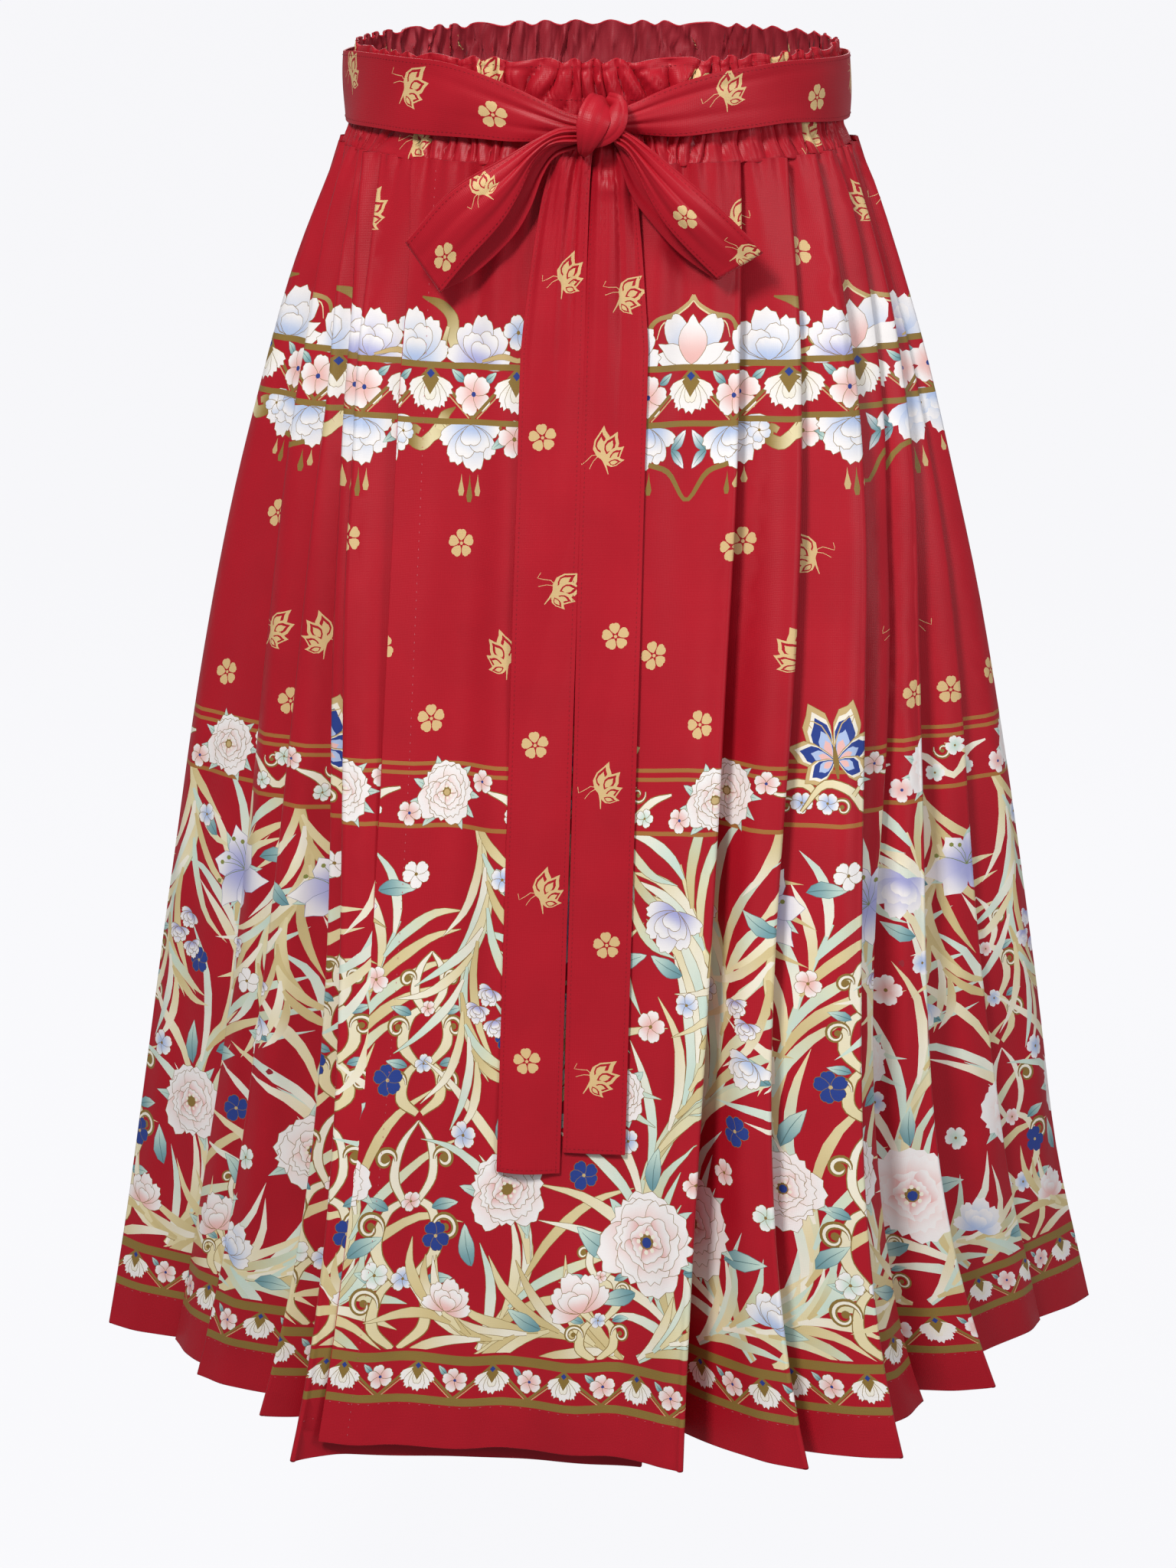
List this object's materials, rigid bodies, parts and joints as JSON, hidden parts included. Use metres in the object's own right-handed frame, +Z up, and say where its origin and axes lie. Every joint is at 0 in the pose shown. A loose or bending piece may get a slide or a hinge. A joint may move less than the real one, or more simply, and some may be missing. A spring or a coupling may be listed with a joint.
{
  "type": "horse-face skirt",
  "caption": "Horse-face skirt held open as worn: shirred elastic waistband, overlapping flat front doors, flat back door, knife pleats at the sides, and a sash tied in a front bow.",
  "frame": {"origin": "middle of the waist opening, at the stitched line between the two elastic channels", "axes": "+Z up out of the waist, the front of the skirt faces -Y, +X to the viewer's right"},
  "size_m": [0.6028, 0.451, 0.782],
  "materials": {
    "printed_cloth": "red satin-weave polyester, printed with borders of blossoms and scrolls",
    "band_cloth": "the same red satin, shirred over elastic",
    "sash_cloth": "the same red satin, folded double and edge stitched"
  },
  "bodies": {
    "root": {"waistband": "band_cloth", "outer_door": "printed_cloth", "under_door": "printed_cloth", "pleats_right_front": "printed_cloth", "pleats_right_back": "printed_cloth", "pleats_left_front": "printed_cloth", "pleats_left_back": "printed_cloth", "back_door": "printed_cloth", "sash_right": "sash_cloth", "sash_back": "sash_cloth", "sash_left": "sash_cloth", "knot": "sash_cloth", "bow_loop_left": "sash_cloth", "bow_loop_right": "sash_cloth", "sash_tail_left": "sash_cloth", "sash_tail_right": "sash_cloth"}
  },
  "joints": []
}
